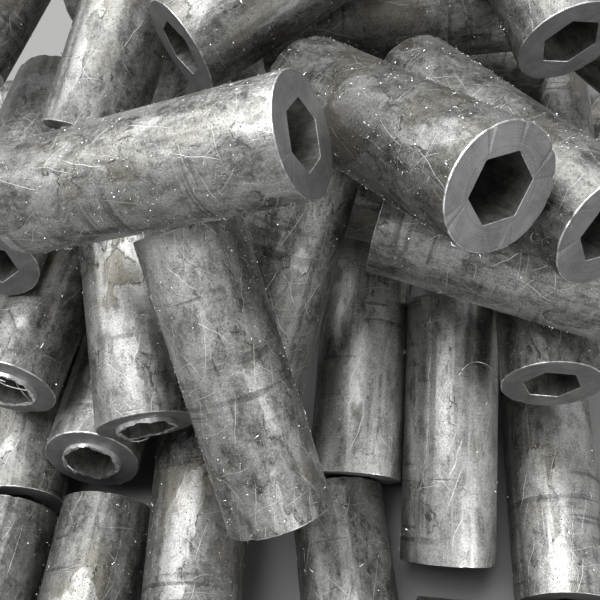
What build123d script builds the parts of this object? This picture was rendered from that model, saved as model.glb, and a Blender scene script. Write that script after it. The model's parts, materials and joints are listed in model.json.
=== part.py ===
from build123d import *
import math
import os

import numpy as np

# A loose heap of thick round steel tubes with a hexagonal bore, sawn and parted to one length.
# Every tube is dropped straight down at its place, tips and slides until its middle is as low
# as it goes, and stays a small clearance off the floor and the tubes it rests on.
# Millimetres, +Z up.

# Section and length of the stock
OUTER_DIAMETER = 38.0
BORE_ACROSS_FLATS = 19.0
TUBE_LENGTH = 106.0

# Thin round collar left around the bore where a tube was parted off its bar
COLLAR_DIAMETER = 23.2
COLLAR_HEIGHT = 2.4

# Air left between two tubes that touch
SEAT_CLEARANCE = 0.3

# Length and thickness of the stock that the places further down are written for
PLAN_STOCK = (106.0, 38.0)

# How far a tube may tip (degrees), slide (mm) and swing (degrees) while it comes to rest
TIP_PLAY = 5.0
INNER_TIP_PLAY = 20.0
SLIDE_PLAY = 3.0

RADIUS = OUTER_DIAMETER / 2
COLLAR_SHOULDER = (OUTER_DIAMETER - COLLAR_DIAMETER) / 2
# Map of the heap's height
MAP_STEP = 1.5
MAP_HALF = int(3.2 * TUBE_LENGTH / MAP_STEP)

REACH = TUBE_LENGTH / 2 + SEAT_CLEARANCE / 2
GIRTH = RADIUS + SEAT_CLEARANCE / 2

# Tubes seen from the front: name, x, y, heading, tilt, turn of the bore, parted end (-1, 0 or 1)
LOW_TUBES = [
    ("front_left_tube", -84, -146, 84, 0, 10, 0),
    ("front_corner_tube", -123, -147, 84, 0, 20, 0),
    ("front_middle_tube", 20, -140, 95, 0, 0, 0),
    ("front_right_tube", 95, -154, 172, 0, 25, 0),
    ("low_left_tube", -117, -38, 90, 0, 5, 0),
    ("low_parted_tube", -82, -28, 82, -8, 20, -1),
    ("low_middle_tube", 27, -30, 85, 10, 0, 0),
    ("low_right_tube", 106, -81, 88, 0, 15, 0),
    ("low_standing_tube", -44, -92, 88, 6, 10, 0),
]
MIDDLE_TUBES = [
    ("left_parted_tube", -104, -6, 80, -9, 25, -1),
    ("streaked_tube", 59, -66, 88, 20, 8, 0),
    ("stub_tube", 95, -12, 84, 7, 5, 0),
    ("parted_down_tube", -69, -26, 100, 17, 14, -1),
]
UPPER_TUBES = [
    ("steep_tube", -9, -32, 69, 50, 0, 0),
    ("leaning_tube", -22, -72, 111, 32, 18, 1),
    ("left_end_tube", -111, 27, 86, -10, 17, 0),
    ("back_left_tube", -71, 68, 68, 34, 10, -1),
    ("far_left_tube", -114, 98, 66, 12, 22, 0),
    ("cross_tube", 38, 84, 5, 0, 0, 0),
    ("right_cross_tube", 80, -38, 340, -6, 9, 0),
    ("right_back_tube", 136, 50, 126, 0, 3, 0),
]
TOP_TUBES = [
    ("right_end_tube", 65, -18, 118, -10, 12, 0),
    ("back_face_tube", -2, 64, 38, 3, 7, 0),
    ("back_right_face_tube", 82, 76, 104, 3, 16, 0),
    ("long_top_tube", -43, -36, 171, -24, 22, 0),
    ("big_face_tube", 30, -23, 121, -21, 10, 0),
]

# Tubes inside the heap: x, y, heading
FLOOR_TUBES = [
    (-114, 46, 3),
    (2, 36, -4),
    (115, 42, 5),
    (-108, 86, -6),
    (6, 82, 4),
    (118, 88, -3),
    (-116, 132, 5),
    (-2, 130, -5),
    (110, 134, 2),
    (-60, 175, -4),
    (58, 173, 6),
]
SECOND_TUBES = [
    (-14, 62, 92),
    (-60, 94, 86),
    (34, 96, 94),
    (80, 101, 88),
    (125, 104, 84),
    (-62, 156, 4),
    (56, 158, -4),
]
THIRD_TUBES = [
    (18, 16, -12),
    (60, 104, -8),
    (-44, 142, 12),
]


def direction(heading, tilt):
    """Unit vectors of tubes with this heading and these tilts, both in degrees."""
    turn = math.radians(heading)
    lean = np.radians(np.atleast_1d(tilt))
    return np.stack([np.cos(lean) * math.cos(turn), np.cos(lean) * math.sin(turn), np.sin(lean)], -1)


def spread(x, y, heading, in_rows):
    """Place in plan, spread by the stock's length along the tube and by its thickness across it.

    Rows that lie one behind the other along Y spread by the length, and a tube that lies
    across them is set off by half its own length and half the thickness of the next.
    """
    turn = math.radians(heading)
    longer = TUBE_LENGTH / PLAN_STOCK[0]
    thicker = OUTER_DIAMETER / PLAN_STOCK[1]
    square = math.cos(turn) ** 2
    if in_rows:
        return x * (thicker + (longer - thicker) * square / 2), y * longer
    wide = longer * square + thicker * (1 - square)
    deep = longer * (1 - square) + thicker * square
    skew = math.cos(turn) * math.sin(turn) * (longer - thicker)
    return x * wide + y * skew, x * skew + y * deep


def width_along(probe, own, parted):
    """How far a tube and its collar reach from its middle along each probe vector."""
    along = (probe * own).sum(-1)
    across = np.sqrt(np.maximum((probe * probe).sum(-1) - along * along, 0.0))
    body = REACH * np.abs(along) + GIRTH * across
    collar = (REACH + COLLAR_HEIGHT) * along * parted + (GIRTH - COLLAR_SHOULDER) * across
    return np.maximum(body, collar)


def rest_over(place, own, parted, others, other_axes, other_parted):
    """Height of the middle at which each tilt first touches each tube already laid."""
    middle = own[:, None, :]
    laid = other_axes[None, :, :]
    offset = others[None, :, :] - np.array([place[0], place[1], 0.0])
    laid_parted = other_parted[None, :, None]

    def height(probe):
        spot = (probe * offset[:, :, None, :]).sum(-1)
        under = width_along(-probe, middle[:, :, None, :], parted)
        return spot + under + width_along(probe, laid[:, :, None, :], laid_parted)

    def sweep(start, step):
        """Least height over probes start + t * step, t found by closing in."""
        centre = np.zeros(start.shape[:2])
        span = 24.0
        best = None
        for _ in range(9):
            t = centre[..., None] + span * np.linspace(-1, 1, 17)
            found = height(start[:, :, None, :] + t[..., None] * step[:, :, None, :])
            pick = found.argmin(-1)
            centre = np.take_along_axis(t, pick[..., None], -1)[..., 0]
            best = found.min(-1)
            span *= 0.25
        return best

    def upright(axis):
        """Probe square to an axis, in its own upright plane, with a height of one."""
        rise = np.maximum(1 - axis[..., 2] ** 2, 1e-9)
        square = -axis * axis[..., 2:3] / rise[..., None]
        square[..., 2] = 1.0
        return square

    def level(axis):
        flat = np.stack([-axis[..., 1], axis[..., 0], np.zeros_like(axis[..., 0])], -1)
        return flat / np.maximum(np.linalg.norm(flat, axis=-1, keepdims=True), 1e-9)

    shape = (len(own), len(others), 3)
    own_all = np.broadcast_to(middle, shape)
    laid_all = np.broadcast_to(laid, shape)
    side = np.cross(own_all, laid_all)
    side = np.where(side[..., 2:3] < 0, -side, side)
    steep = side[..., 2] < 1e-3
    side = side / np.where(steep, 1.0, side[..., 2])[..., None]
    crossing = height(side[:, :, None, :])[..., 0]
    best = np.where(steep, 1e9, crossing)
    best = np.minimum(best, sweep(upright(own_all), level(own_all)))
    best = np.minimum(best, sweep(upright(laid_all), level(laid_all)))

    # Rim against rim: close in on the lowest probe in both directions
    spread = np.array([(a, b) for a in (-1, -0.5, 0, 0.5, 1) for b in (-1, -0.5, 0, 0.5, 1)])
    centre = np.zeros(shape[:2] + (2,))
    span = 6.0
    for _ in range(16):
        slopes = centre[:, :, None, :] + span * spread
        probe = np.concatenate([slopes, np.ones(slopes.shape[:-1] + (1,))], -1)
        found = height(probe)
        pick = found.argmin(-1)
        centre = np.take_along_axis(slopes, pick[..., None, None], 2)[:, :, 0, :]
        best = np.minimum(best, found.min(-1))
        span *= 0.65
    return best


def skin_points(x, y, heading, tilts, turns, rings):
    """Points on the round side of a tube for each tilt; 0 of the turns is its underside."""
    own = direction(heading, tilts)
    turn = math.radians(heading)
    side = np.array([-math.sin(turn), math.cos(turn), 0.0])
    down = -np.cross(own, side)
    down = np.where(down[:, 2:3] > 0, -down, down)
    around = RADIUS * (np.sin(turns)[:, None, None] * side + np.cos(turns)[:, None, None] * down)
    along = TUBE_LENGTH / 2 * np.linspace(-1, 1, rings)[:, None, None] * own
    skin = (around[:, None] + along[None]).reshape(-1, len(own), 3).swapaxes(0, 1)
    return skin + np.array([x, y, 0.0])


class Heap:
    """The tubes laid so far, as middles and axes, with a map of how high the heap is."""

    def __init__(self):
        self.middles = np.zeros((0, 3))
        self.axes = np.zeros((0, 3))
        self.parted = np.zeros(0)
        self.map = np.zeros((2 * MAP_HALF, 2 * MAP_HALF))

    def cells(self, x, y):
        """Rows and columns of the height map under these points."""
        across = np.clip((x / MAP_STEP + MAP_HALF).astype(int), 0, 2 * MAP_HALF - 1)
        along = np.clip((y / MAP_STEP + MAP_HALF).astype(int), 0, 2 * MAP_HALF - 1)
        return across, along

    def rough_heights(self, x, y, heading, tilts):
        """Height of the middle for each tilt, read off the map to about a millimetre."""
        skin = skin_points(x, y, heading, tilts, np.radians(np.linspace(-90, 90, 19)), 22)
        under = self.map[self.cells(skin[..., 0], skin[..., 1])]
        return (under - skin[..., 2]).max(-1)

    def heights(self, x, y, heading, tilts, parted):
        """Lowest height of the middle for each tilt at one place."""
        own = direction(heading, tilts)
        lowest = REACH * np.abs(own[:, 2]) + GIRTH * np.sqrt(1 - own[:, 2] ** 2)
        lowest = lowest - SEAT_CLEARANCE / 2
        if len(self.middles):
            away = np.hypot(self.middles[:, 0] - x, self.middles[:, 1] - y)
            below = self.middles[:, 2] + TUBE_LENGTH > self.rough_heights(x, y, heading, tilts).min()
            near = (away < TUBE_LENGTH + OUTER_DIAMETER) & below
            if near.any():
                over = rest_over((x, y), own, parted, self.middles[near], self.axes[near], self.parted[near])
                lowest = np.maximum(lowest, over.max(-1))
        return lowest

    def best_tilt(self, x, y, heading, tilts):
        """Tilt with the lowest middle, read off the map."""
        heights = self.rough_heights(x, y, heading, tilts)
        return float(tilts[heights.argmin()]), float(heights.min())

    def settle(self, x, y, heading, tilts):
        """Place, heading and tilt at which a tube let down at x, y comes to rest."""
        tilt, height = self.best_tilt(x, y, heading, tilts)
        start = (x, y, heading)
        step = SLIDE_PLAY / 2
        while step > 0.4:
            turn = math.radians(heading)
            moves = [(-math.sin(turn), math.cos(turn), 0), (math.sin(turn), -math.cos(turn), 0),
                     (math.cos(turn), math.sin(turn), 0), (-math.cos(turn), -math.sin(turn), 0),
                     (0, 0, 1), (0, 0, -1)]
            better = False
            for move in moves:
                spot = (x + step * move[0], y + step * move[1], heading + step * move[2])
                slid = math.hypot(spot[0] - start[0], spot[1] - start[1])
                if slid > SLIDE_PLAY or abs(spot[2] - start[2]) > SLIDE_PLAY:
                    continue
                found = self.best_tilt(*spot, tilts)
                if found[1] < height - 0.1:
                    x, y, heading = spot
                    tilt, height = found
                    better = True
            if not better:
                step /= 2
        return x, y, heading, tilt

    def lay(self, x, y, heading, tilt, play, parted=0):
        """Let one tube down and keep it; its middle and axis are given back."""
        most = tilt + play
        least = tilt - play
        x, y, heading, tilt = self.settle(x, y, heading, np.linspace(least, most, 11))
        for step in (0.2, 0.04, 0.008):
            tilts = np.clip(tilt + step * play * np.arange(-5, 6) / 5, least, most)
            heights = self.heights(x, y, heading, tilts, parted)
            tilt = float(tilts[heights.argmin()])
        axis = direction(heading, tilt)[0]
        middle = np.array([x, y, float(heights.min())])
        self.middles = np.vstack([self.middles, middle])
        self.axes = np.vstack([self.axes, axis])
        self.parted = np.append(self.parted, parted)
        top = skin_points(x, y, heading, tilt, np.radians(np.linspace(-180, 180, 121)), 107)[0]
        spots = self.cells(top[:, 0], top[:, 1])
        np.maximum.at(self.map, spots, top[:, 2] + middle[2])
        return middle, axis


heap = Heap()
placed = {}
groups = {}


def lay_named(rows, in_rows=False):
    for name, x, y, heading, tilt, roll, parted in rows:
        middle, axis = heap.lay(*spread(x, y, heading, in_rows), heading, tilt, TIP_PLAY, parted)
        placed[name] = (middle, axis, roll, parted)


def lay_inside(name, rows):
    """A layer of tubes inside the heap, which share one part."""
    groups[name] = []
    for x, y, heading in rows:
        middle, axis = heap.lay(*spread(x, y, heading, False), heading, 0, INNER_TIP_PLAY)
        groups[name].append((middle, axis, (x + y) % 60, 0))


lay_inside("floor_tubes", FLOOR_TUBES)
lay_named(LOW_TUBES, in_rows=True)
lay_inside("second_layer_tubes", SECOND_TUBES)
lay_named(MIDDLE_TUBES)
lay_inside("third_layer_tubes", THIRD_TUBES)
lay_named(UPPER_TUBES)
lay_named(TOP_TUBES)

# Middle of the whole heap over the floor becomes the origin
reach = TUBE_LENGTH / 2 * np.abs(heap.axes) + RADIUS * np.sqrt(1 - heap.axes ** 2)
low = (heap.middles - reach).min(0)
high = (heap.middles + reach).max(0)
shift = np.array([-(low[0] + high[0]) / 2, -(low[1] + high[1]) / 2, -low[2]])


def end_plane(middle, axis, roll, length):
    """Plane on the lower end of a tube, its normal along the tube, turned by the roll."""
    base = middle + shift - axis * length / 2
    flat = np.array([-axis[1], axis[0], 0.0]) / math.hypot(axis[0], axis[1])
    turned = math.cos(math.radians(roll)) * flat + math.sin(math.radians(roll)) * np.cross(axis, flat)
    return Plane(origin=tuple(base), x_dir=tuple(turned), z_dir=tuple(axis))


def make_tube(middle, axis, roll, parted):
    """Solid of one tube; the collar of a parted end stands past its length."""
    start = end_plane(middle, axis, roll, TUBE_LENGTH)
    collar = start.offset(-COLLAR_HEIGHT if parted < 0 else 0)
    overall = TUBE_LENGTH + (COLLAR_HEIGHT if parted else 0)
    with BuildPart() as tube:
        with BuildSketch(start):
            Circle(RADIUS)
        extrude(amount=TUBE_LENGTH)
        if parted:
            with BuildSketch(collar):
                Circle(COLLAR_DIAMETER / 2)
            extrude(amount=overall)
        with BuildSketch(collar):
            RegularPolygon(BORE_ACROSS_FLATS / 2, 6, major_radius=False)
        extrude(amount=overall, mode=Mode.SUBTRACT)
    return tube.part


os.makedirs("parts", exist_ok=True)

for name, spot in placed.items():
    tube = make_tube(*spot)
    tube.label = name
    export_step(tube, f"parts/{name}.step")

for name, spots in groups.items():
    layer = Compound(children=[make_tube(*spot) for spot in spots])
    layer.label = name
    export_step(layer, f"parts/{name}.step")
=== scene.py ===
"""A loose heap of thick cut steel tubes with hexagonal bores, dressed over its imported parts."""

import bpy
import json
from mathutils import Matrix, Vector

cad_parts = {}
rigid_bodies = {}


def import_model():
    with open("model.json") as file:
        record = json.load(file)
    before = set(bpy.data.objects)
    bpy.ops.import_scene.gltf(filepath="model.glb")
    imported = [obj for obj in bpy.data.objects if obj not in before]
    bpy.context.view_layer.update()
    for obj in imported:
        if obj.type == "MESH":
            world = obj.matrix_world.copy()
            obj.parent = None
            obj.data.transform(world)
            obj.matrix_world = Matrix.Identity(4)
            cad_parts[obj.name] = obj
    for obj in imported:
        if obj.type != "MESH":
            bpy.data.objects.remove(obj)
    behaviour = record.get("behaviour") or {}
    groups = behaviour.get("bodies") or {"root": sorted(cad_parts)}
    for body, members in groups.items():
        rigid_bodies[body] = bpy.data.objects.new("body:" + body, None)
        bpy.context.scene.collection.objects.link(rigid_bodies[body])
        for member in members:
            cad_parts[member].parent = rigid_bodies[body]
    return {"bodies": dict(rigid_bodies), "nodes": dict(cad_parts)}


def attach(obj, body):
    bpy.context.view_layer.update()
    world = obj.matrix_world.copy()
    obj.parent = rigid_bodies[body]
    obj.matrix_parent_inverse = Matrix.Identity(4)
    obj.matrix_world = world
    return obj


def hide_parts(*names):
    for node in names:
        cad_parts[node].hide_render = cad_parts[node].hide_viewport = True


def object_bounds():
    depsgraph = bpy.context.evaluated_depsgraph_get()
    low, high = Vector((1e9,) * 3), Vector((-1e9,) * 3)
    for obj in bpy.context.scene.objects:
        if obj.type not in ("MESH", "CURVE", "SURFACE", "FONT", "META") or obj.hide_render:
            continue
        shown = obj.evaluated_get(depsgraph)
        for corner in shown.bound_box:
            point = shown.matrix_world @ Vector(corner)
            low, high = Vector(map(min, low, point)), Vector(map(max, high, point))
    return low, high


bl_info = {
    "name": "Heap of Cut Steel Tubes",
    "version": (1, 0, 0),
    "blender": (4, 5, 0),
    "location": "3D View > Sidebar > Steel Heap",
    "description": "Models sawn and parted steel tubes, their burrs and clinging chips",
    "category": "Add Mesh",
}

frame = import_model()

import json
import math
import random

import bpy
import numpy as np
from mathutils import Matrix, Vector, noise

CAD_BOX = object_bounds()
BODY = next(iter(frame["bodies"]))
MM = 0.001

# The stock, as the parts have it: outer radius, length, bore across its flats, parting collar
RADIUS = 19.0 * MM
LENGTH = 106.0 * MM
FLATS = 19.0 * MM
COLLAR_RADIUS = 11.6 * MM
COLLAR_HEIGHT = 2.4 * MM

ROUND_SIDES = 96
BORE_CORNER = 0.45 * MM
SAME_LEVEL = 0.001 * MM
SMOOTH_ANGLE = math.radians(32)

SKIN, FACE, BORE, EDGE, TORN = range(5)


class Tube:
    """Where one tube lies: a frame with Z along it, X towards a flat of its bore."""

    def __init__(self, middle, axis, flat, parted):
        self.parted = parted
        across = axis.cross(flat)
        turn = Matrix((flat, across, axis)).transposed().to_4x4()
        self.place = Matrix.Translation(middle) @ turn
        self.axis = axis
        self.middle = middle


# ---------------------------------------------------------------- reading the frame

def triangles(node):
    """Corners of a node's triangles and the number of the solid each belongs to."""
    mesh = frame["nodes"][node].data
    mesh.calc_loop_triangles()
    points = np.empty(len(mesh.vertices) * 3)
    mesh.vertices.foreach_get("co", points)
    points = points.reshape(-1, 3)
    corners = np.empty(len(mesh.loop_triangles) * 3, dtype=int)
    mesh.loop_triangles.foreach_get("vertices", corners)
    spots, same = np.unique(np.round(points * 1e6).astype(np.int64), axis=0, return_inverse=True)
    corners = same.ravel()[corners].reshape(-1, 3)
    label = np.arange(len(spots))
    while True:
        lowest = label[corners].min(1)
        before = label.copy()
        np.minimum.at(label, corners.ravel(), np.repeat(lowest, 3))
        label = label[label]
        if (label == before).all():
            break
    return spots[corners] * 1e-6, label[corners[:, 0]]


def tubes_in(node):
    """Every tube of a node, read off its end faces and the flats of its bore."""
    corners, label = triangles(node)
    found = []
    for one in np.unique(label):
        tri = corners[label == one]
        cross = np.cross(tri[:, 1] - tri[:, 0], tri[:, 2] - tri[:, 0])
        area = np.linalg.norm(cross, axis=1)
        normal = cross / np.maximum(area, 1e-15)[:, None]
        spread = (normal * area[:, None]).T @ normal
        axis = np.linalg.eigh(spread)[1][:, 0]
        points = tri.reshape(-1, 3)
        along = points @ axis
        around = points - np.outer(along, axis)
        middle = (around.min(0) + around.max(0)) / 2
        radial = np.linalg.norm(around - middle, axis=1)
        wide = along[radial > RADIUS * 0.9]
        top = along.max() - wide.max()
        bottom = wide.min() - along.min()
        parted = max(top, bottom) > COLLAR_HEIGHT / 2
        if bottom > top or (not parted and axis[np.abs(axis).argmax()] < 0):
            axis = -axis
            wide = -wide
        centre = (wide.min() + wide.max()) / 2
        spot = middle - axis * (middle @ axis) + axis * centre
        inward = ((tri.mean(1) - spot) * normal).sum(1) < 0
        flat_side = inward & (np.abs(normal @ axis) < 0.02)
        flat = -normal[flat_side][area[flat_side].argmax()]
        flat = flat - axis * (flat @ axis)
        found.append(Tube(Vector(spot), Vector(axis), Vector(flat / np.linalg.norm(flat)), parted))
    return found


# ---------------------------------------------------------------- modelling helpers

def linked(name, data):
    """A new object with this data, linked to the scene."""
    obj = bpy.data.objects.new(name, data)
    bpy.context.scene.collection.objects.link(obj)
    return obj


def clear_selection():
    if bpy.context.object and bpy.context.object.mode != "OBJECT":
        bpy.ops.object.mode_set(mode="OBJECT")
    bpy.ops.object.select_all(action="DESELECT")


def select_only(obj):
    clear_selection()
    obj.select_set(True)
    bpy.context.view_layer.objects.active = obj


def pick(obj, kind, test):
    """Selects the vertices, edges or faces that pass the test, from object mode."""
    mesh = obj.data
    for group in (mesh.vertices, mesh.edges, mesh.polygons):
        group.foreach_set("select", [False] * len(group))
    for part in getattr(mesh, kind):
        part.select = bool(test(part))
    mode = {"vertices": "VERT", "edges": "EDGE", "polygons": "FACE"}[kind]
    bpy.ops.object.mode_set(mode="EDIT")
    bpy.ops.mesh.select_mode(type=mode)


def leave_edit():
    bpy.ops.object.mode_set(mode="OBJECT")


def edge_ends(mesh, edge):
    return mesh.vertices[edge.vertices[0]].co, mesh.vertices[edge.vertices[1]].co


def rise_of(mesh, edge):
    """How much higher one end of an edge lies than the other."""
    low, high = edge_ends(mesh, edge)
    return abs(low.z - high.z)


def level_at(mesh, height):
    """Test for edges that lie at one height."""
    def test(edge):
        return all(abs(end.z - height) < SAME_LEVEL for end in edge_ends(mesh, edge))
    return test


def shell(radius, depth, middle, sides):
    """Open cylinder round Z."""
    clear_selection()
    bpy.ops.mesh.primitive_cylinder_add(vertices=sides, radius=radius, depth=depth,
                                        end_fill_type="NOTHING", location=(0, 0, middle))
    bpy.ops.object.transform_apply(location=True, rotation=False, scale=False)
    return bpy.context.object


def bore_shell(depth, middle, cuts):
    """Hexagonal bore with its six corners slightly rounded, facing inwards."""
    obj = shell(FLATS / 2 / math.cos(math.pi / 6), depth, middle, 6)
    mesh = obj.data
    bevel_edges(obj, [lambda e: rise_of(mesh, e) > depth / 2], BORE_CORNER, 3)
    if cuts:
        def long_level(edge):
            a, b = edge_ends(mesh, edge)
            return rise_of(mesh, edge) < SAME_LEVEL and (a - b).length > 3 * MM
        pick(obj, "edges", long_level)
        bpy.ops.mesh.subdivide(number_cuts=cuts)
        leave_edit()
    pick(obj, "polygons", lambda f: True)
    bpy.ops.mesh.flip_normals()
    leave_edit()
    return obj


def join(objects):
    clear_selection()
    for obj in objects:
        obj.select_set(True)
    bpy.context.view_layer.objects.active = objects[0]
    bpy.ops.object.join()
    return bpy.context.object


def bridge(obj, height):
    """Joins the loops of edges at one height with faces."""
    pick(obj, "edges", level_at(obj.data, height))
    bpy.ops.mesh.bridge_edge_loops()
    leave_edit()


def at_rim(mesh, height):
    """Test for the edges of the outer rim at one height."""
    level = level_at(mesh, height)

    def test(edge):
        return level(edge) and all(abs(math.hypot(end.x, end.y) - RADIUS) < 0.05 * MM
                                   for end in edge_ends(mesh, edge))
    return test


def hugs_bore(point):
    """True on the outline of the hexagonal bore."""
    reach = max(abs(point.x * math.cos(turn) + point.y * math.sin(turn))
                for turn in (0, math.pi / 3, 2 * math.pi / 3))
    return abs(reach - FLATS / 2) < 0.25 * MM


def at_mouth(mesh, height):
    """Test for the edges of the bore's mouth at one height."""
    level = level_at(mesh, height)

    def test(edge):
        return level(edge) and all(math.hypot(end.x, end.y) < COLLAR_RADIUS - 0.2 * MM and hugs_bore(end)
                                   for end in edge_ends(mesh, edge))
    return test


def bevel_edges(obj, tests, width, segments):
    """Bevels the edges that pass any of the tests."""
    pick(obj, "edges", lambda e: any(t(e) for t in tests))
    bpy.ops.mesh.bevel(offset=width, segments=segments, affect="EDGES")
    leave_edit()


def sort_materials(obj):
    """Gives each face the slot of its place: skin, end face, bore, bright edge or torn collar."""
    half = LENGTH / 2
    for face in obj.data.polygons:
        spot, way = face.center, face.normal
        radial = math.hypot(spot.x, spot.y)
        if abs(way.z) > 0.97:
            slot = FACE
        elif radial > RADIUS * 0.8:
            slot = SKIN if abs(way.z) < 0.05 else EDGE
        elif abs(spot.z) > half + 0.02 * MM or (abs(way.z) > 0.05 and abs(spot.z) > half - 1 * MM):
            slot = EDGE
        else:
            slot = BORE
        if spot.z > half + 0.05 * MM and (radial < COLLAR_RADIUS + 1 * MM) and slot != BORE:
            slot = TORN
        face.material_index = slot


def sawn_master(sizes):
    """One tube sawn at both ends, standing on the origin's middle."""
    half = LENGTH / 2
    obj = join([shell(RADIUS, LENGTH, 0, ROUND_SIDES), bore_shell(LENGTH, 0, 0)])
    for height in (half, -half):
        bridge(obj, height)
    mesh = obj.data
    bevel_edges(obj, [at_rim(mesh, h) for h in (half, -half)], sizes.rim_chamfer, 2)
    bevel_edges(obj, [at_mouth(mesh, h) for h in (half, -half)], sizes.mouth_edge, 1)
    sort_materials(obj)
    return obj


def parted_master(sizes):
    """One tube with a parting collar round the bore at its upper end."""
    half = LENGTH / 2
    top = half + COLLAR_HEIGHT
    barrel = shell(RADIUS, LENGTH, 0, ROUND_SIDES)
    collar = shell(COLLAR_RADIUS, COLLAR_HEIGHT, half + COLLAR_HEIGHT / 2, ROUND_SIDES)
    bore = bore_shell(LENGTH + COLLAR_HEIGHT, COLLAR_HEIGHT / 2, 7)
    obj = join([barrel, collar, bore])
    for height in (-half, half, top):
        bridge(obj, height)
    mesh = obj.data
    bevel_edges(obj, [at_rim(mesh, h) for h in (half, -half)], sizes.rim_chamfer * 1.3, 2)
    bevel_edges(obj, [at_mouth(mesh, -half)], sizes.mouth_edge, 1)
    sort_materials(obj)
    return obj


def tear_collar(mesh, seed, depth):
    """Pulls the collar's top down and sideways at random, as where it tore off its bar."""
    half = LENGTH / 2
    for vertex in mesh.vertices:
        rise = vertex.co.z - half
        if rise < 0.3 * MM:
            continue
        turn = math.atan2(vertex.co.y, vertex.co.x)
        ring = Vector((math.cos(turn), math.sin(turn), seed * 7.3))
        broad = 0.5 + 0.9 * noise.noise(ring * 1.3)
        jag = noise.noise(ring * 6.0) * 0.45 + noise.noise(ring * 17.0) * 0.3
        cut = min(max(broad + jag, 0.0), 1.0) * depth
        outer = math.hypot(vertex.co.x, vertex.co.y) > COLLAR_RADIUS - 0.3 * MM
        vertex.co.z -= cut * COLLAR_HEIGHT
        if outer:
            flare = 1.0 + 0.05 * noise.noise(ring * 4.0 + Vector((3, 1, 0))) - 0.02
            vertex.co.x *= flare
            vertex.co.y *= flare
        else:
            vertex.co.z -= 0.25 * MM


def nick_rims(mesh, seed, depth):
    """Small knocks in the rims of both ends."""
    half = LENGTH / 2
    for vertex in mesh.vertices:
        x, y, z = vertex.co
        radial = math.hypot(x, y)
        if radial < RADIUS - 0.8 * MM or abs(z) < half - 0.8 * MM:
            continue
        turn = math.atan2(y, x)
        ring = Vector((math.cos(turn) * 3, math.sin(turn) * 3, seed + (5 if z > 0 else 0)))
        knock = max(noise.noise(ring * 2.2) - 0.18, 0.0) * depth
        knock += max(noise.noise(ring * 0.8), 0.0) * depth * 0.25
        vertex.co.x *= 1 - knock / radial
        vertex.co.y *= 1 - knock / radial
        vertex.co.z -= math.copysign(knock * 0.6, z)


def mark_place(mesh, seed, tone, streak):
    """Stores each tube's own millimetres and its look, which the materials read: a tone that is partly
    painted light and shade, and streaks that are partly painted highlight.
    """
    points = np.empty(len(mesh.vertices) * 3)
    mesh.vertices.foreach_get("co", points)
    place = mesh.attributes.new("tube_place", "FLOAT_VECTOR", "POINT")
    place.data.foreach_set("vector", points / MM)
    for name, value in (("tube_seed", seed), ("tube_tone", tone), ("tube_streak", streak)):
        layer = mesh.attributes.new(name, "FLOAT", "POINT")
        layer.data.foreach_set("value", [value] * len(mesh.vertices))


def tube_mesh(master, tube, seed, tone, streak, sizes):
    """A tube's own mesh: a copy of the master, worn, marked and laid in its place."""
    mesh = master.data.copy()
    if tube.parted:
        tear_collar(mesh, seed, sizes.collar_tear)
    nick_rims(mesh, seed * 31.7, sizes.rim_nicks)
    mark_place(mesh, seed, tone, streak)
    mesh.transform(tube.place)
    return mesh


def finish_piece(name, meshes, materials):
    """Joins laid tubes into one piece with its materials, smoothed by angle."""
    clear_selection()
    objects = []
    for mesh in meshes:
        for material in materials:
            mesh.materials.append(material)
        objects.append(linked(name, mesh))
    piece = join(objects) if len(objects) > 1 else objects[0]
    select_only(piece)
    bpy.ops.object.shade_smooth_by_angle(angle=SMOOTH_ANGLE)
    for face in piece.data.polygons:
        if face.material_index == FACE:
            face.use_smooth = False
    piece.name = name
    return piece


# ---------------------------------------------------------------- materials

class Graph:
    """Short hand for wiring a node tree."""

    def __init__(self, tree):
        self.tree = tree
        self.column = 0

    def node(self, kind, **settings):
        made = self.tree.nodes.new(kind)
        made.location = (self.column, -60 * (len(self.tree.nodes) % 9))
        self.column += 40
        for key, value in settings.items():
            setattr(made, key, value)
        return made

    def put(self, value, socket):
        if isinstance(value, bpy.types.NodeSocket):
            self.tree.links.new(value, socket)
        else:
            socket.default_value = value

    def math(self, kind, a, b=0.0, c=0.0, clamp=False):
        made = self.node("ShaderNodeMath", operation=kind, use_clamp=clamp)
        for value, socket in zip((a, b, c), made.inputs):
            self.put(value, socket)
        return made.outputs[0]

    def vector(self, kind, a, b=(0, 0, 0), c=(0, 0, 0)):
        made = self.node("ShaderNodeVectorMath", operation=kind)
        for value, socket in zip((a, b, c), made.inputs):
            self.put(value, socket)
        return made.outputs["Value"] if kind in ("LENGTH", "DOT_PRODUCT") else made.outputs[0]

    def scaled(self, vector, factor):
        made = self.node("ShaderNodeVectorMath", operation="SCALE")
        self.put(vector, made.inputs[0])
        self.put(factor, made.inputs["Scale"])
        return made.outputs[0]

    def noise(self, vector, scale, detail=3.0, rough=0.55, twist=0.0):
        made = self.node("ShaderNodeTexNoise")
        self.put(vector, made.inputs["Vector"])
        for key, value in (("Scale", scale), ("Detail", detail), ("Roughness", rough), ("Distortion", twist)):
            self.put(value, made.inputs[key])
        return made.outputs["Fac"]

    def ramp(self, value, low, high, to_low=0.0, to_high=1.0):
        made = self.node("ShaderNodeMapRange", interpolation_type="SMOOTHSTEP")
        for item, socket in zip((value, low, high, to_low, to_high), made.inputs):
            self.put(item, socket)
        return made.outputs[0]

    def mix(self, factor, a, b, kind="MIX"):
        made = self.node("ShaderNodeMix", data_type="RGBA", blend_type=kind)
        self.put(factor, made.inputs[0])
        self.put(a, made.inputs[6])
        self.put(b, made.inputs[7])
        return made.outputs[2]

    def blend(self, factor, a, b):
        made = self.node("ShaderNodeMix", data_type="FLOAT")
        self.put(factor, made.inputs[0])
        self.put(a, made.inputs[2])
        self.put(b, made.inputs[3])
        return made.outputs[0]

    def group(self, tree, **values):
        made = self.node("ShaderNodeGroup", node_tree=tree)
        for key, value in values.items():
            self.put(value, made.inputs[key.replace("_", " ").title()])
        return made.outputs


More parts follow.
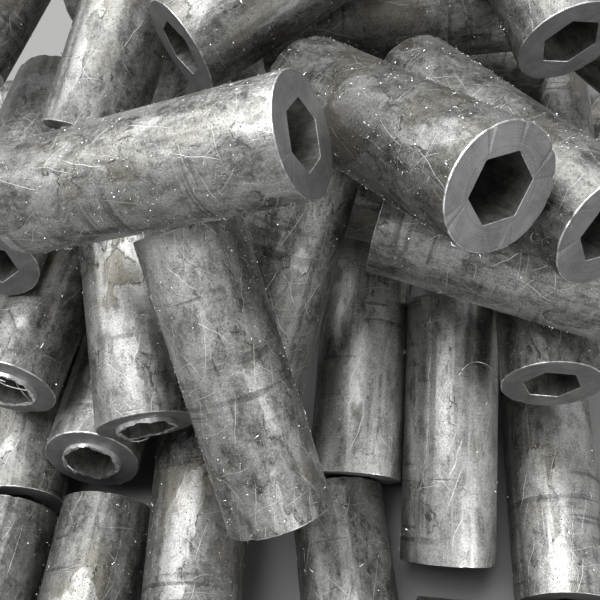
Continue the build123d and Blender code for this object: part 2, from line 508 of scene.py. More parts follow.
def new_group(name, inputs, outputs):
    """A node group with named inputs and outputs, each a vector (v) or a number (f)."""
    tree = bpy.data.node_groups.new(name, "ShaderNodeTree")
    kinds = {"v": "NodeSocketVector", "f": "NodeSocketFloat"}
    for text, kind in inputs:
        tree.interface.new_socket(name=text, in_out="INPUT", socket_type=kinds[kind])
    for text, kind in outputs:
        tree.interface.new_socket(name=text, in_out="OUTPUT", socket_type=kinds[kind])
    graph = Graph(tree)
    return tree, graph, graph.node("NodeGroupInput").outputs, graph.node("NodeGroupOutput").inputs


def vector_parts(graph, vector):
    made = graph.node("ShaderNodeSeparateXYZ")
    graph.put(vector, made.inputs[0])
    return made.outputs[0], made.outputs[1], made.outputs[2]


def unrolled(graph, place, shifted):
    """The skin laid flat: millimetres round the tube and along it."""
    x, y, z = vector_parts(graph, place)
    turn = graph.math("ARCTAN2", y, x)
    flat = graph.node("ShaderNodeCombineXYZ")
    graph.put(graph.math("MULTIPLY", turn, RADIUS / MM), flat.inputs[0])
    graph.put(z, flat.inputs[1])
    graph.put(shifted, flat.inputs[2])
    return flat.outputs[0]


def colour_parts(graph, colour):
    made = graph.node("ShaderNodeSeparateColor")
    graph.put(colour, made.inputs[0])
    return made.outputs[0], made.outputs[1], made.outputs[2]


def bend_of(graph, value):
    """A vector that leans by how far a value is from its middle."""
    made = graph.node("ShaderNodeCombineXYZ")
    swing = graph.math("MULTIPLY", graph.math("SUBTRACT", value, 0.5), 2.0)
    graph.put(swing, made.inputs[0])
    graph.put(swing, made.inputs[1])
    return made.outputs[0]


def drawn_residue_group():
    """Drawing residue in flaked plates: how worn, how light, its dark outlines and its height."""
    tree, g, inputs, outputs = new_group(
        "drawn_residue", [("Place", "v"), ("Seed", "f"), ("Wear", "f")],
        [("Worn", "f"), ("Tone", "f"), ("Outline", "f"), ("Grain", "f"), ("Height", "f")])
    spot = g.vector("ADD", inputs["Place"], g.scaled((311.0, 173.0, 229.0), inputs["Seed"]))
    long_spot = g.vector("MULTIPLY", spot, (1.0, 1.0, 0.6))
    broad = g.noise(long_spot, 0.060, 5.0, 0.52, 0.25)
    smear = g.noise(long_spot, 0.16, 6.0, 0.66, 0.35)
    grain = g.noise(spot, 1.5, 4.0, 0.7)
    fine = g.noise(spot, 0.55, 3.0, 0.65)
    wear = g.math("MULTIPLY", g.math("SUBTRACT", inputs["Wear"], 0.5), 0.22)
    film = g.math("ADD", broad, wear)
    plate = g.ramp(film, 0.505, 0.55)
    patchy = g.ramp(g.math("MULTIPLY_ADD", smear, 0.8, g.math("MULTIPLY", grain, 0.2)), 0.36, 0.60)
    g.put(g.math("MULTIPLY", plate, g.math("MULTIPLY_ADD", patchy, 0.65, 0.35)), outputs["Worn"])
    tone = g.math("MULTIPLY_ADD", smear, 0.55, g.math("MULTIPLY", fine, 0.30))
    tone = g.math("MULTIPLY_ADD", grain, 0.14, tone)
    g.put(g.ramp(tone, 0.34, 0.66), outputs["Tone"])
    line = g.ramp(g.math("ABSOLUTE", g.math("SUBTRACT", film, 0.508)), 0.010, 0.002)
    shown = g.ramp(g.noise(spot, 0.11, 2.0), 0.50, 0.60)
    outline = g.math("MULTIPLY", line, shown)
    g.put(outline, outputs["Outline"])
    g.put(g.ramp(grain, 0.36, 0.62), outputs["Grain"])
    height = g.math("MULTIPLY_ADD", grain, 0.7, g.math("MULTIPLY", smear, 1.3))
    height = g.math("MULTIPLY_ADD", plate, -0.5, height)
    g.put(g.math("MULTIPLY_ADD", outline, -0.8, height), outputs["Height"])
    return tree


def specks_group():
    """Fine bright grains of steel dust and dark pits."""
    tree, g, inputs, outputs = new_group(
        "steel_specks", [("Place", "v"), ("Seed", "f"), ("Amount", "f")],
        [("Bright", "f"), ("Dark", "f")])
    spot = g.vector("ADD", inputs["Place"], g.scaled((131.0, 277.0, 89.0), inputs["Seed"]))
    for scale, edge, share, out in ((1.25, 0.22, 0.45, "Bright"), (0.80, 0.26, 0.55, "Dark")):
        cells = g.node("ShaderNodeTexVoronoi", feature="F1")
        g.put(spot, cells.inputs["Vector"])
        g.put(scale, cells.inputs["Scale"])
        dot = g.ramp(cells.outputs["Distance"], edge, edge * 0.4)
        picked, _, _ = colour_parts(g, cells.outputs["Color"])
        chosen = g.math("GREATER_THAN", picked, share)
        cluster = g.ramp(g.noise(spot, 0.16, 2.0), 0.38, 0.6)
        value = g.math("MULTIPLY", g.math("MULTIPLY", dot, chosen), cluster)
        g.put(g.math("MULTIPLY", value, inputs["Amount"]), outputs[out])
    return tree


def scratches_group():
    """Sparse fine scratches: long cells of the unrolled skin, a few of which hold one line."""
    tree, g, inputs, outputs = new_group(
        "skin_scratches", [("Place", "v"), ("Seed", "f")], [("Fine", "f"), ("Deep", "f")])
    flat = unrolled(g, inputs["Place"], g.math("MULTIPLY", inputs["Seed"], 97.0))
    bent = g.noise(flat, 0.09, 1.0, 0.5)
    flat = g.vector("ADD", flat, g.vector("MULTIPLY", bend_of(g, bent), (2.4, 2.4, 0.0)))
    made = []
    for turn, narrow, long, width, share in ((18, 0.30, 0.042, 0.045, 0.74), (-38, 0.26, 0.055, 0.040, 0.78),
                                             (80, 0.34, 0.050, 0.045, 0.84), (4, 0.15, 0.020, 0.030, 0.60)):
        turned = g.node("ShaderNodeVectorRotate", rotation_type="Z_AXIS")
        g.put(flat, turned.inputs["Vector"])
        g.put(math.radians(turn), turned.inputs["Angle"])
        stretched = g.vector("MULTIPLY", turned.outputs[0], (narrow, long, 1.0))
        cells = g.node("ShaderNodeTexVoronoi", feature="F1", voronoi_dimensions="2D")
        g.put(stretched, cells.inputs["Vector"])
        g.put(1.0, cells.inputs["Scale"])
        chosen, faint, _ = colour_parts(g, cells.outputs["Color"])
        apart = g.vector("SUBTRACT", stretched, cells.outputs["Position"])
        across, along, _ = vector_parts(g, apart)
        line = g.ramp(g.math("ABSOLUTE", across), width, width * 0.3)
        ends = g.ramp(g.math("ABSOLUTE", along), 0.42, 0.2)
        kept = g.math("GREATER_THAN", chosen, share)
        strength = g.math("MULTIPLY", g.math("MULTIPLY", kept, g.math("MULTIPLY_ADD", faint, 0.7, 0.3)), ends)
        made.append(g.math("MULTIPLY", line, strength))
    fine = g.math("MAXIMUM", made[0], made[1])
    g.put(g.math("MAXIMUM", fine, made[2], clamp=True), outputs["Fine"])
    g.put(made[3], outputs["Deep"])
    return tree


def draw_marks_group():
    """Chatter bands round the tube and streaks along it, left by the drawing die; the skin also uses the
    streaks as a painted highlight.
    """
    tree, g, inputs, outputs = new_group(
        "draw_marks", [("Place", "v"), ("Seed", "f")], [("Bands", "f"), ("Streaks", "f")])
    flat = unrolled(g, inputs["Place"], g.math("MULTIPLY", inputs["Seed"], 61.0))
    ringed = g.vector("MULTIPLY", flat, (0.02, 0.32, 1.0))
    ring = g.ramp(g.noise(ringed, 1.0, 2.0, 0.5, 0.25), 0.56, 0.68)
    where = g.ramp(g.noise(g.vector("MULTIPLY", flat, (0.03, 0.035, 1.3)), 1.0, 2.0), 0.50, 0.62)
    g.put(g.math("MULTIPLY", ring, where), outputs["Bands"])
    along = g.vector("MULTIPLY", flat, (0.42, 0.016, 1.0))
    g.put(g.ramp(g.noise(along, 1.0, 4.0, 0.6), 0.40, 0.66), outputs["Streaks"])
    return tree


def attribute(graph, name, output):
    made = graph.node("ShaderNodeAttribute", attribute_name=name)
    return made.outputs[output]


def new_material(name):
    material = bpy.data.materials.new(name)
    material.use_nodes = True
    material.node_tree.nodes.clear()
    graph = Graph(material.node_tree)
    shader = graph.node("ShaderNodeBsdfPrincipled")
    out = graph.node("ShaderNodeOutputMaterial")
    graph.tree.links.new(shader.outputs[0], out.inputs[0])
    return material, graph, shader.inputs


def bump(graph, height, strength, distance):
    made = graph.node("ShaderNodeBump")
    graph.put(height, made.inputs["Height"])
    graph.put(strength, made.inputs["Strength"])
    graph.put(distance, made.inputs["Distance"])
    return made.outputs[0]


def steel_skin(groups, colours):
    """Cold-drawn skin: dull residue, silvery where it is rubbed, dusty and scratched, with painted light and
    shade in each tube's tone and a painted highlight in its streaks.
    """
    material, g, shader = new_material("drawn_steel_skin")
    place = attribute(g, "tube_place", "Vector")
    seed = attribute(g, "tube_seed", "Fac")
    tone = attribute(g, "tube_tone", "Fac")
    streak = attribute(g, "tube_streak", "Fac")
    # Each tube's tone, partly painted light and shade, also sets how much of the residue is rubbed off
    residue = g.group(groups["residue"], place=place, seed=seed, wear=tone)
    specks = g.group(groups["specks"], place=place, seed=seed, amount=1.0)
    lines = g.group(groups["scratches"], place=place, seed=seed)
    marks = g.group(groups["marks"], place=place, seed=seed)
    # Streaks of rubbed metal along the tube, made strong on the low tubes as a painted highlight
    streaks = g.math("MULTIPLY", marks["Streaks"], streak)
    worn = g.math("MAXIMUM", residue["Worn"], streaks)
    colour = g.mix(residue["Tone"], tuple(colours.residue_dark), tuple(colours.residue_light))
    dusty = g.ramp(g.noise(g.vector("ADD", place, (40.0, 11.0, 5.0)), 0.035, 3.0), 0.48, 0.68)
    colour = g.mix(g.math("MULTIPLY", dusty, 0.65), colour, tuple(colours.dust))
    colour = g.mix(g.math("MULTIPLY", worn, 0.8), colour, tuple(colours.worn))
    colour = g.mix(g.math("MULTIPLY", residue["Outline"], 0.8), colour, tuple(colours.residue_dark))
    speckled = g.math("MULTIPLY", g.math("SUBTRACT", 1.0, residue["Grain"]), 0.36)
    colour = g.mix(speckled, colour, tuple(colours.residue_dark))
    colour = g.mix(g.math("MULTIPLY", marks["Bands"], 0.6), colour, tuple(colours.residue_dark))
    colour = g.mix(g.math("MULTIPLY", specks["Dark"], 0.75), colour, (0.02, 0.02, 0.02, 1))
    colour = g.mix(g.math("MULTIPLY", lines["Fine"], 0.75), colour, tuple(colours.bright))
    colour = g.mix(g.math("MULTIPLY", specks["Bright"], 0.9), colour, tuple(colours.bright))
    # Painted light and shade: each tube's skin is made lighter or darker as a whole by its tone, set to how
    # lit or shaded that tube looks
    painted_shade_and_tone = g.scaled((1.0, 1.0, 1.0), g.ramp(tone, 0.0, 1.0, 0.5, 1.12))
    g.put(g.mix(1.0, colour, painted_shade_and_tone, "MULTIPLY"), shader["Base Color"])
    g.put(g.blend(worn, 0.80, 0.97), shader["Metallic"])
    rough = g.blend(worn, 0.49, 0.44)
    rough = g.math("MULTIPLY_ADD", g.math("SUBTRACT", residue["Tone"], 0.5), 0.16, rough)
    g.put(g.math("MAXIMUM", rough, 0.22), shader["Roughness"])
    height = g.math("MULTIPLY_ADD", lines["Deep"], -1.2, residue["Height"])
    height = g.math("MULTIPLY_ADD", lines["Fine"], 0.6, height)
    height = g.math("MULTIPLY_ADD", marks["Bands"], -0.9, height)
    height = g.math("MULTIPLY_ADD", specks["Bright"], 1.2, height)
    height = g.math("MULTIPLY_ADD", specks["Dark"], -0.8, height)
    g.put(bump(g, height, 0.6, 0.13 * MM), shader["Normal"])
    return material


def end_face(groups, colours):
    """Sawn or turned end: matte grey with a fine grain, lighter rings near the rim."""
    material, g, shader = new_material("sawn_end_face")
    place = attribute(g, "tube_place", "Vector")
    seed = attribute(g, "tube_seed", "Fac")
    spot = g.vector("ADD", place, g.scaled((57.0, 83.0, 19.0), seed))
    cloud = g.noise(spot, 0.11, 3.0, 0.6, 0.4)
    grain = g.noise(spot, 2.4, 3.0, 0.7)
    x, y, _ = vector_parts(g, place)
    radial = g.math("SQRT", g.math("ADD", g.math("MULTIPLY", x, x), g.math("MULTIPLY", y, y)))
    rings = g.node("ShaderNodeCombineXYZ")
    g.put(g.math("MULTIPLY", radial, 2.6), rings.inputs[0])
    g.put(g.math("MULTIPLY", seed, 40.0), rings.inputs[1])
    turned = g.noise(rings.outputs[0], 1.0, 2.0, 0.6)
    sawn = g.noise(g.vector("MULTIPLY", spot, (0.05, 2.2, 0.05)), 1.0, 2.0, 0.5)
    specks = g.group(groups["specks"], place=place, seed=seed, amount=0.7)
    tone = g.math("MULTIPLY_ADD", cloud, 0.55, g.math("MULTIPLY", turned, 0.25))
    tone = g.math("MULTIPLY_ADD", grain, 0.3, tone)
    colour = g.mix(g.ramp(tone, 0.35, 0.75), tuple(colours.face_dark), tuple(colours.face_light))
    colour = g.mix(g.math("MULTIPLY", specks["Bright"], 0.6), colour, tuple(colours.bright))
    colour = g.mix(g.math("MULTIPLY", specks["Dark"], 0.5), colour, (0.05, 0.05, 0.05, 1))
    g.put(colour, shader["Base Color"])
    shader["Metallic"].default_value = 0.75
    g.put(g.ramp(tone, 0.2, 0.9, 0.62, 0.46), shader["Roughness"])
    height = g.math("MULTIPLY_ADD", turned, 0.8, g.math("MULTIPLY", grain, 0.6))
    height = g.math("MULTIPLY_ADD", sawn, 0.7, height)
    g.put(bump(g, height, 0.4, 0.06 * MM), shader["Normal"])
    return material


def bore_wall(groups, colours):
    """Drawn bore: dull and dark, streaked along the tube."""
    material, g, shader = new_material("hexagonal_bore_wall")
    place = attribute(g, "tube_place", "Vector")
    seed = attribute(g, "tube_seed", "Fac")
    residue = g.group(groups["residue"], place=place, seed=seed, wear=0.35)
    streak = g.noise(g.vector("MULTIPLY", place, (1.1, 1.1, 0.05)), 1.0, 3.0, 0.6)
    colour = g.mix(g.math("MULTIPLY", residue["Tone"], streak),
                   tuple(colours.residue_dark), tuple(colours.residue_light))
    g.put(colour, shader["Base Color"])
    shader["Metallic"].default_value = 0.6
    g.put(g.ramp(streak, 0.2, 0.8, 0.7, 0.45), shader["Roughness"])
    g.put(bump(g, g.math("ADD", residue["Height"], streak), 0.5, 0.1 * MM), shader["Normal"])
    return material


def bright_metal(name, colours, low, high, relief, dark):
    """Fresh bright metal of a chamfer, burr, chip or torn collar."""
    material, g, shader = new_material(name)
    coordinates = g.node("ShaderNodeTexCoord").outputs["Object"]
    broad = g.noise(coordinates, 420.0, 3.0, 0.6, 0.5)
    fine = g.noise(coordinates, 2600.0, 2.0, 0.6)
    tone = g.math("MULTIPLY_ADD", broad, 0.7, g.math("MULTIPLY", fine, 0.3))
    g.put(g.mix(g.ramp(tone, 0.35, 0.65), dark, tuple(colours.bright)), shader["Base Color"])
    shader["Metallic"].default_value = 1.0
    g.put(g.ramp(tone, 0.3, 0.7, high, low), shader["Roughness"])
    g.put(bump(g, tone, 0.6, relief), shader["Normal"])
    return material


def heap_materials(colours):
    """All materials of the heap, made once."""
    if "drawn_steel_skin" in bpy.data.materials:
        names = ("drawn_steel_skin", "sawn_end_face", "hexagonal_bore_wall", "bright_edge", "torn_collar")
        return [bpy.data.materials[name] for name in names]
    groups = {"residue": drawn_residue_group(), "specks": specks_group(),
              "scratches": scratches_group(), "marks": draw_marks_group()}
    return [steel_skin(groups, colours), end_face(groups, colours), bore_wall(groups, colours),
            bright_metal("bright_edge", colours, 0.3, 0.5, 0.05 * MM, tuple(colours.face_light)),
            bright_metal("torn_collar", colours, 0.35, 0.6, 0.2 * MM, tuple(colours.worn))]


# ---------------------------------------------------------------- settings

class SteelHeapSizes(bpy.types.PropertyGroup):
    """Sizes of the edges, the torn collars and the litter"""
    rim_chamfer: bpy.props.FloatProperty(
        name="Rim chamfer", description="Width of the broken edge round a tube's end",
        default=0.35 * MM, unit="LENGTH", precision=5)
    mouth_edge: bpy.props.FloatProperty(
        name="Mouth edge", description="Width of the burr along the mouth of the bore",
        default=0.16 * MM, unit="LENGTH", precision=5)
    rim_nicks: bpy.props.FloatProperty(
        name="Rim nicks", description="Depth of the knocks in the rims",
        default=0.9 * MM, unit="LENGTH", precision=5)
    collar_tear: bpy.props.FloatProperty(
        name="Collar tear", description="How much of the parting collar is torn away",
        default=0.55, min=0.0, max=1.0, subtype="FACTOR")
    chips_per_tube: bpy.props.IntProperty(
        name="Chips per tube", description="Slivers of swarf that cling to each tube", default=260, min=0)
    grains_per_tube: bpy.props.IntProperty(
        name="Grains per tube", description="Grains of steel dust on each tube", default=1500, min=0)


def colour_setting(name, text, value):
    return bpy.props.FloatVectorProperty(name=name, description=text, default=value, size=4,
                                         subtype="COLOR", min=0.0, max=1.0)


class SteelHeapColours(bpy.types.PropertyGroup):
    """Colours of the steel and of the floor"""
    residue_dark: colour_setting("Dark residue", "Thick drawing residue", (0.060, 0.060, 0.058, 1))
    residue_light: colour_setting("Light residue", "Thin drawing residue", (0.47, 0.465, 0.44, 1))
    worn: colour_setting("Worn steel", "Skin rubbed to the metal", (0.56, 0.56, 0.55, 1))
    dust: colour_setting("Dust", "Brownish dust on the skin", (0.22, 0.20, 0.15, 1))
    bright: colour_setting("Bright steel", "Fresh scratches, chips and burrs", (0.85, 0.85, 0.84, 1))
    face_dark: colour_setting("Dark face", "Darker grain of a sawn end", (0.15, 0.15, 0.15, 1))
    face_light: colour_setting("Light face", "Lighter grain of a sawn end", (0.29, 0.29, 0.288, 1))
    floor: colour_setting("Floor", "Plain studio floor", (0.32, 0.32, 0.317, 1))


# How light and how streaky the skin of a tube is, where it differs from the usual: the lightness is partly
# painted light and shade, the streaks partly painted highlight
TONE_STREAK_AND_PAINTED_LIGHT = {
    "long_top_tube": (0.66, 0.20), "big_face_tube": (0.30, 0.10), "leaning_tube": (0.66, 0.15),
    "parted_down_tube": (0.60, 0.25), "left_parted_tube": (0.35, 0.20), "steep_tube": (0.30, 0.35),
    "right_cross_tube": (0.66, 0.45), "low_middle_tube": (0.80, 0.9), "streaked_tube": (1.0, 1.0),
    "low_right_tube": (0.78, 0.9), "back_left_tube": (0.55, 0.25), "stub_tube": (0.30, 0.35),
    "cross_tube": (0.15, 0.20), "right_end_tube": (0.35, 0.15), "low_standing_tube": (0.40, 0.25),
}
USUAL_TONE_STREAK_AND_PAINTED_LIGHT = (0.40, 0.30)


def dress(names, master_of, scene):
    """Models the tubes of each named node and lets the new piece stand for it."""
    materials = heap_materials(scene.steel_heap_colours)
    order = sorted(frame["nodes"])
    for name in names:
        tone, streak = TONE_STREAK_AND_PAINTED_LIGHT.get(name, USUAL_TONE_STREAK_AND_PAINTED_LIGHT)
        meshes = []
        for number, tube in enumerate(tubes_in(name)):
            seed = ((order.index(name) * 0.377 + number * 0.619) % 1.0) + 0.01
            meshes.append(tube_mesh(master_of(tube), tube, seed, tone, streak, scene.steel_heap_sizes))
        piece = finish_piece("steel_" + name, meshes, materials)
        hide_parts(name)
        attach(piece, BODY)


def drop(master):
    """Takes away a master once its copies are made."""
    mesh = master.data
    bpy.data.objects.remove(master)
    bpy.data.meshes.remove(mesh)


SINGLE_NODES = [name for name in sorted(frame["nodes"]) if not name.endswith("_tubes")]
LAYER_NODES = [name for name in sorted(frame["nodes"]) if name.endswith("_tubes")]


class STEELHEAP_OT_sawn_tubes(bpy.types.Operator):
    """Model the tubes that are sawn at both ends"""
    bl_idname = "steel_heap.sawn_tubes"
    bl_label = "Sawn Tubes"

    def execute(self, context):
        master = sawn_master(context.scene.steel_heap_sizes)
        names = [name for name in SINGLE_NODES if not tubes_in(name)[0].parted]
        dress(names, lambda tube: master, context.scene)
        drop(master)
        return {"FINISHED"}


class STEELHEAP_OT_parted_tubes(bpy.types.Operator):
    """Model the tubes that keep a torn parting collar"""
    bl_idname = "steel_heap.parted_tubes"
    bl_label = "Parted Tubes"

    def execute(self, context):
        master = parted_master(context.scene.steel_heap_sizes)
        names = [name for name in SINGLE_NODES if tubes_in(name)[0].parted]
        dress(names, lambda tube: master, context.scene)
        drop(master)
        return {"FINISHED"}


class STEELHEAP_OT_inner_layers(bpy.types.Operator):
    """Model the layers of tubes inside the heap"""
    bl_idname = "steel_heap.inner_layers"
    bl_label = "Inner Layers"

    def execute(self, context):
        master = sawn_master(context.scene.steel_heap_sizes)
        dress(LAYER_NODES, lambda tube: master, context.scene)
        drop(master)
        return {"FINISHED"}


# ---------------------------------------------------------------- burrs and chips

# How thickly swarf and dust lie on a tube, where it differs from the usual
LITTER = {"long_top_tube": 1.9, "leaning_tube": 2.2, "big_face_tube": 1.7, "right_cross_tube": 1.5,
          "right_end_tube": 1.5, "back_face_tube": 1.5, "stub_tube": 1.2, "streaked_tube": 0.6,
          "low_middle_tube": 0.5, "low_right_tube": 0.5, "back_left_tube": 0.6}
USUAL_LITTER = 0.9
INNER_LITTER = 0.25


def litter(name):
    """Share of the usual number of chips and grains on a node's tubes."""
    return INNER_LITTER if name in LAYER_NODES else LITTER.get(name, USUAL_LITTER)


# Curled strands of burr on the collars: node and points, as (degrees round the collar, distance from
# the tube's axis, height over its end), in millimetres
STRANDS = [
    ("left_parted_tube", [(200, 10.4, 2.0), (228, 9.2, 3.4), (252, 8.4, 3.2), (268, 9.8, 2.6),
                          (262, 11.6, 3.0), (248, 11.4, 3.4)]),
    ("left_parted_tube", [(150, 10.2, 2.0), (176, 8.8, 2.8), (205, 8.4, 2.2), (226, 9.6, 1.6)]),
    ("low_parted_tube", [(300, 10.6, 1.8), (318, 9.0, 2.6), (330, 9.4, 3.0), (342, 11.0, 2.4),
                         (336, 12.4, 1.2)]),
    ("low_parted_tube", [(285, 11.0, 1.6), (305, 11.8, 2.4), (325, 12.4, 1.8), (340, 12.2, 0.8)]),
    ("parted_down_tube", [(20, 11.2, 2.0), (36, 12.2, 2.8), (55, 11.0, 3.2), (70, 9.6, 2.4)]),
    ("back_left_tube", [(120, 11.0, 1.8), (140, 12.0, 2.6), (158, 10.6, 2.8)]),
    ("leaning_tube", [(60, 11.2, 1.6), (82, 12.6, 2.0), (104, 12.2, 1.4)]),
]

# One long curl that peels off a skin, as (degrees from the top towards +X, distance from the axis,
# place along the tube from its middle), in millimetres
SKIN_CURL = ("streaked_tube", [(0, 18.9, 20), (5, 19.1, 23), (10, 20.0, 24.5), (15, 22.5, 25.5),
                               (20, 24.5, 25), (26, 25.5, 24), (31, 25.5, 21.5), (38, 24.5, 18.5)])
STRAND_THICKNESS = 0.55 * MM


def strand_points(tube, turns):
    """Points of a burr strand over the tube's parted end."""
    spots = []
    for turn, away, over in turns:
        angle = math.radians(turn)
        local = Vector((away * math.cos(angle), away * math.sin(angle), LENGTH / MM / 2 + over)) * MM
        spots.append(tube.place @ local)
    return spots


def curl_points(tube, turns):
    """Points of the skin curl, turned from the highest line of the tube."""
    along = tube.axis if tube.axis.y > 0 else -tube.axis
    top = (Vector((0, 0, 1)) - along * along.z).normalized()
    side = along.cross(top)
    if side.x < 0:
        side = -side
    spots = []
    for turn, away, reach in turns:
        angle = math.radians(turn)
        out = top * math.cos(angle) + side * math.sin(angle)
        spots.append(tube.middle + out * away * MM + along * reach * MM)
    return spots


def wire_piece(name, lines, thickness, material):
    """Thin tapering strands along smooth lines, as one mesh."""
    data = bpy.data.curves.new(name, "CURVE")
    data.dimensions = "3D"
    data.bevel_depth = thickness / 2
    data.bevel_resolution = 1
    data.resolution_u = 6
    data.use_fill_caps = True
    for points in lines:
        line = data.splines.new("NURBS")
        line.points.add(len(points) - 1)
        for number, (node, spot) in enumerate(zip(line.points, points)):
            node.co = (*spot, 1.0)
            share = number / (len(points) - 1)
            node.radius = 1.25 - 0.8 * share
        line.order_u = 3
        line.use_endpoint_u = True
    select_only(linked(name, data))
    bpy.ops.object.convert(target="MESH")
    piece = bpy.context.object
    piece.name = name
    piece.data.materials.clear()
    piece.data.materials.append(material)
    bpy.ops.object.shade_smooth()
    return piece


class STEELHEAP_OT_burr_strands(bpy.types.Operator):
    """Model the curled strands of burr on the parted ends and one on the skin"""
    bl_idname = "steel_heap.burr_strands"
    bl_label = "Burr Strands"

    def execute(self, context):
        materials = heap_materials(context.scene.steel_heap_colours)
        lines = []
        for name, turns in STRANDS:
            tube = tubes_in(name)[0]
            if tube.parted:
                lines.append(strand_points(tube, turns))
        name, turns = SKIN_CURL
        lines.append(curl_points(tubes_in(name)[0], turns))
        piece = wire_piece("burr_strands", lines, STRAND_THICKNESS, materials[EDGE])
        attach(piece, BODY)
        return {"FINISHED"}


def sliver_master():
    """One bent sliver of swarf, a unit long, thick where it was cut and thin at its tip."""
    clear_selection()
    bpy.ops.mesh.primitive_cone_add(vertices=3, radius1=0.10, radius2=0.02, depth=1.0, end_fill_type="NGON")
    obj = bpy.context.object
    pick(obj, "edges", lambda e: rise_of(obj.data, e) > 0.5)
    bpy.ops.mesh.subdivide(number_cuts=2)
    leave_edit()
    for vertex in obj.data.vertices:
        vertex.co.x += 0.22 - 0.9 * vertex.co.z ** 2
    return obj


def scattered(master, count_of, size_of, lift_of, chance):
    """Copies of a small master in drifts over the skins of all tubes, as points and faces."""
    mesh = master.data
    mesh.calc_loop_triangles()
    base = np.array([v.co[:] for v in mesh.vertices])
    tris = np.array([t.vertices[:] for t in mesh.loop_triangles])
    low, high = (np.array(side) for side in CAD_BOX)
    points, faces, total = [], [], 0
    for name in sorted(frame["nodes"]):
        for tube in tubes_in(name):
            for _ in range(count_of(name)):
                turn = chance.uniform(-math.pi, math.pi)
                along = chance.uniform(-0.5, 0.5) * LENGTH
                out = Vector((math.cos(turn), math.sin(turn), 0))
                drift = noise.noise(out * 1.6 + Vector((0, 0, along / MM * 0.06)) + tube.middle * 90)
                if drift < chance.uniform(-0.45, 0.35):
                    continue
                size = size_of(chance)
                spot = tube.place @ (out * (RADIUS + lift_of(chance)) + Vector((0, 0, along)))
                yaw = chance.uniform(0, math.tau)
                tilt = chance.gauss(0, 0.35)
                side = Vector((-out.y, out.x, 0))
                way = Vector((0, 0, 1)) * math.cos(yaw) + side * math.sin(yaw)
                way = (way + out * tilt).normalized()
                second = way.cross(out).normalized()
                third = second.cross(way)
                turn_in = tube.place.to_3x3() @ Matrix((third, second, way)).transposed()
                laid = base * size @ np.array(turn_in).T + np.array(spot)
                if (laid < low).any() or (laid > high).any():
                    continue
                points.append(laid)
                faces.append(tris + total)
                total += len(base)
    return np.vstack(points), np.vstack(faces)


def scatter_piece(name, points, faces, material):
    mesh = bpy.data.meshes.new(name)
    mesh.from_pydata(points.tolist(), [], faces.tolist())
    mesh.materials.append(material)
    piece = linked(name, mesh)
    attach(piece, BODY)
    return piece


class STEELHEAP_OT_chips(bpy.types.Operator):
    """Scatter slivers of swarf and grains of steel dust over the tubes"""
    bl_idname = "steel_heap.chips"
    bl_label = "Chips and Dust"

    def execute(self, context):
        sizes = context.scene.steel_heap_sizes
        materials = heap_materials(context.scene.steel_heap_colours)
        chance = random.Random(41)
        master = sliver_master()
        points, faces = scattered(
            master, lambda name: int(sizes.chips_per_tube * litter(name)),
            lambda c: min(c.lognormvariate(math.log(0.95), 0.5), 3.0) * MM,
            lambda c: c.uniform(-0.05, 0.2) * MM, chance)
        scatter_piece("clinging_swarf", points, faces, materials[EDGE])
        drop(master)
        clear_selection()
        bpy.ops.mesh.primitive_cone_add(vertices=3, radius1=0.5, radius2=0.0, depth=0.8, end_fill_type="NGON")
        grain = bpy.context.object
        points, faces = scattered(
            grain, lambda name: int(sizes.grains_per_tube * litter(name)),
            lambda c: min(c.lognormvariate(math.log(0.3), 0.4), 0.8) * MM, lambda c: 0.06 * MM, chance)
        scatter_piece("steel_dust", points, faces, materials[EDGE])
        drop(grain)
        return {"FINISHED"}


# ---------------------------------------------------------------- stage

BACKDROP = (0.80, 0.81, 0.82, 1)
BACKDROP_SEEN, BACKDROP_LIGHT = 0.70, 0.05
FLOOR_SIZE, FLOOR_GAP = 8.0, 0.2 * MM
FLOOR_FADE = (0.3, 1.8, 0.0, 0.66)

# Name, place, size and power in watts, all aimed at the heap's middle
LIGHTS_AIM = (0, 0, 0.1)
LIGHTS = (("overhead_softbox", (-0.30, 0.22, 1.1), (1.2, 0.95), 22.0),
          ("left_softbox", (-1.05, 0.10, 0.66), (0.7, 0.55), 3.0),
          ("front_fill", (0.75, -0.95, 0.55), (0.8, 0.5), 6.0))

# The camera's place, its tilt down from level and its field of view
CAMERA_PLACE = (-7.4 * MM, -213.1 * MM, 364 * MM)
CAMERA_DOWN = math.radians(57)
CAMERA_ANGLE = 2 * math.atan(300 / 862)


def seen_rays(g):
    """1 where the picture, a reflection or a view through glass looks at the backdrop."""
    path = g.node("ShaderNodeLightPath").outputs
    seen = g.math("MAXIMUM", path["Is Camera Ray"], path["Is Glossy Ray"])
    return g.math("MAXIMUM", seen, path["Is Transmission Ray"])


def floor_material(colour):
    """Plain floor that runs out into a pale backdrop, which lights nothing."""
    material, g, shader = new_material("studio_floor")
    shader["Base Color"].default_value = tuple(colour)
    shader["Roughness"].default_value = 0.9
    shader["Specular IOR Level"].default_value = 0.1
    away = g.vector("LENGTH", g.node("ShaderNodeTexCoord").outputs["Object"])
    shader["Emission Color"].default_value = BACKDROP
    g.put(g.math("MULTIPLY", seen_rays(g), g.ramp(away, *FLOOR_FADE)), shader["Emission Strength"])
    return material


def studio_world():
    """Dim even light all round, in front of a pale backdrop."""
    world = bpy.data.worlds.new("studio")
    world.use_nodes = True
    background = world.node_tree.nodes["Background"]
    background.inputs["Color"].default_value = BACKDROP
    g = Graph(world.node_tree)
    g.put(g.math("MULTIPLY_ADD", seen_rays(g), BACKDROP_SEEN, BACKDROP_LIGHT), background.inputs["Strength"])
    return world


def area_light(name, spot, size, power):
    data = bpy.data.lights.new(name, "AREA")
    data.shape = "RECTANGLE"
    data.size, data.size_y = size
    data.energy = power
    lamp = linked(name, data)
    lamp.location = spot
    lamp.rotation_euler = (Vector(LIGHTS_AIM) - Vector(spot)).to_track_quat("-Z", "Y").to_euler()


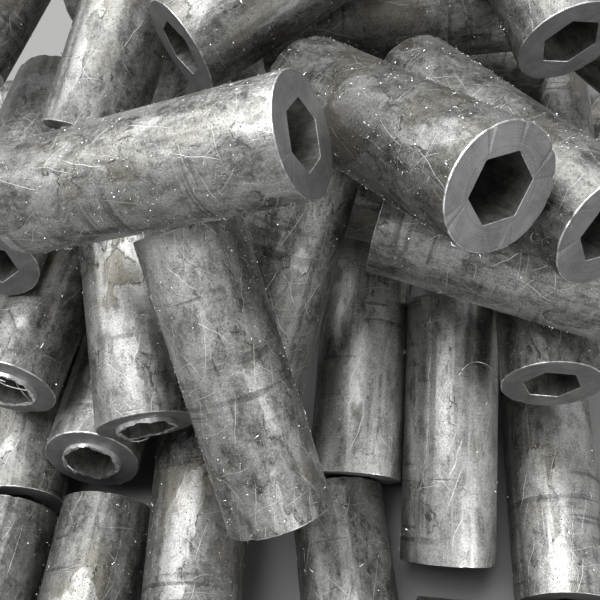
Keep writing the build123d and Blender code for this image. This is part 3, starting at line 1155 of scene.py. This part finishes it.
class STEELHEAP_OT_stage(bpy.types.Operator):
    """Set the floor, the soft studio light and the camera"""
    bl_idname = "steel_heap.stage"
    bl_label = "Stage"

    def execute(self, context):
        scene = context.scene
        clear_selection()
        bpy.ops.mesh.primitive_plane_add(size=FLOOR_SIZE, location=(0, 0, -FLOOR_GAP))
        floor = bpy.context.object
        bpy.ops.object.transform_apply(location=True)
        floor.name = "studio_floor"
        floor.data.materials.append(floor_material(scene.steel_heap_colours.floor))

        scene.world = studio_world()
        for light in LIGHTS:
            area_light(*light)

        lens = bpy.data.cameras.new("camera")
        lens.sensor_width = 36.0
        lens.angle = CAMERA_ANGLE
        lens.clip_start = 0.01
        camera = linked("camera", lens)
        camera.location = CAMERA_PLACE
        camera.rotation_euler = (math.pi / 2 - CAMERA_DOWN, 0, 0)
        scene.camera = camera
        scene.view_settings.view_transform = "Standard"
        return {"FINISHED"}


class STEELHEAP_PT_panel(bpy.types.Panel):
    bl_label = "Steel Heap"
    bl_idname = "STEELHEAP_PT_panel"
    bl_space_type = "VIEW_3D"
    bl_region_type = "UI"
    bl_category = "Steel Heap"

    def draw(self, context):
        layout = self.layout
        for step in STEPS:
            layout.operator(step.bl_idname)
        for settings in (context.scene.steel_heap_sizes, context.scene.steel_heap_colours):
            for name in settings.__annotations__:
                layout.prop(settings, name)


STEPS = (STEELHEAP_OT_sawn_tubes, STEELHEAP_OT_parted_tubes, STEELHEAP_OT_inner_layers,
         STEELHEAP_OT_burr_strands, STEELHEAP_OT_chips, STEELHEAP_OT_stage)
CLASSES = (SteelHeapSizes, SteelHeapColours, *STEPS, STEELHEAP_PT_panel)


def register():
    for one in CLASSES:
        bpy.utils.register_class(one)
    bpy.types.Scene.steel_heap_sizes = bpy.props.PointerProperty(type=SteelHeapSizes)
    bpy.types.Scene.steel_heap_colours = bpy.props.PointerProperty(type=SteelHeapColours)


def unregister():
    del bpy.types.Scene.steel_heap_colours
    del bpy.types.Scene.steel_heap_sizes
    for one in reversed(CLASSES):
        bpy.utils.unregister_class(one)


def main():
    register()
    bpy.ops.steel_heap.sawn_tubes()
    bpy.ops.steel_heap.parted_tubes()
    bpy.ops.steel_heap.inner_layers()
    bpy.ops.steel_heap.burr_strands()
    bpy.ops.steel_heap.chips()
    bpy.ops.steel_heap.stage()


if __name__ == "__main__":
    main()
